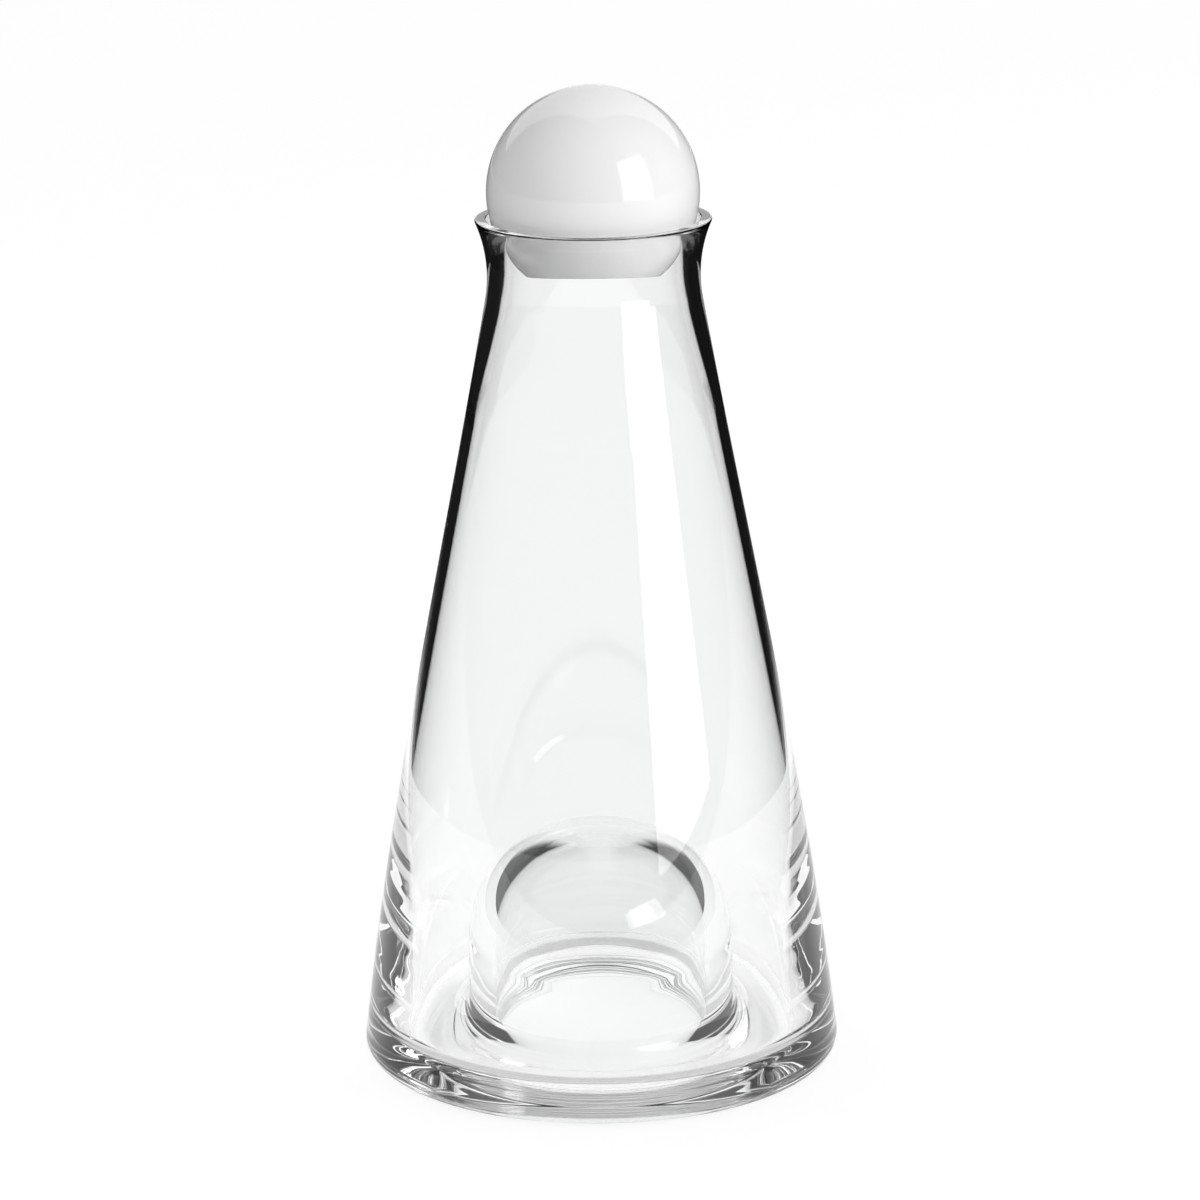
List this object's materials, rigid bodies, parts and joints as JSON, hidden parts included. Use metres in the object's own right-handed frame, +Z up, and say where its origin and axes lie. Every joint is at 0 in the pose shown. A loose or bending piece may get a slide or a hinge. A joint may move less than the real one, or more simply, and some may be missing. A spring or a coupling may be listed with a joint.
{
  "type": "carafe",
  "caption": "Clear blown glass carafe with a flared mouth and a ball-shaped dome in its base, closed by a hollow white opal glass ball that lifts out.",
  "frame": {"origin": "middle of the ring that the carafe stands on, at the table", "axes": "+Z up along the carafe's axis, -Y towards the viewer in the picture, +X to the viewer's right"},
  "size_m": [0.125, 0.125, 0.2576],
  "materials": {
    "clear_glass": "polished",
    "opal_glass": "gloss"
  },
  "bodies": {
    "carafe": {"carafe_body": "clear_glass"},
    "stopper": {"ball_stopper": "opal_glass"}
  },
  "joints": [
    {"name": "stopper_lift", "type": "slide", "parent": "carafe", "child": "stopper", "axis": [0, 0, 1], "range_m": [0, 0.02]}
  ]
}
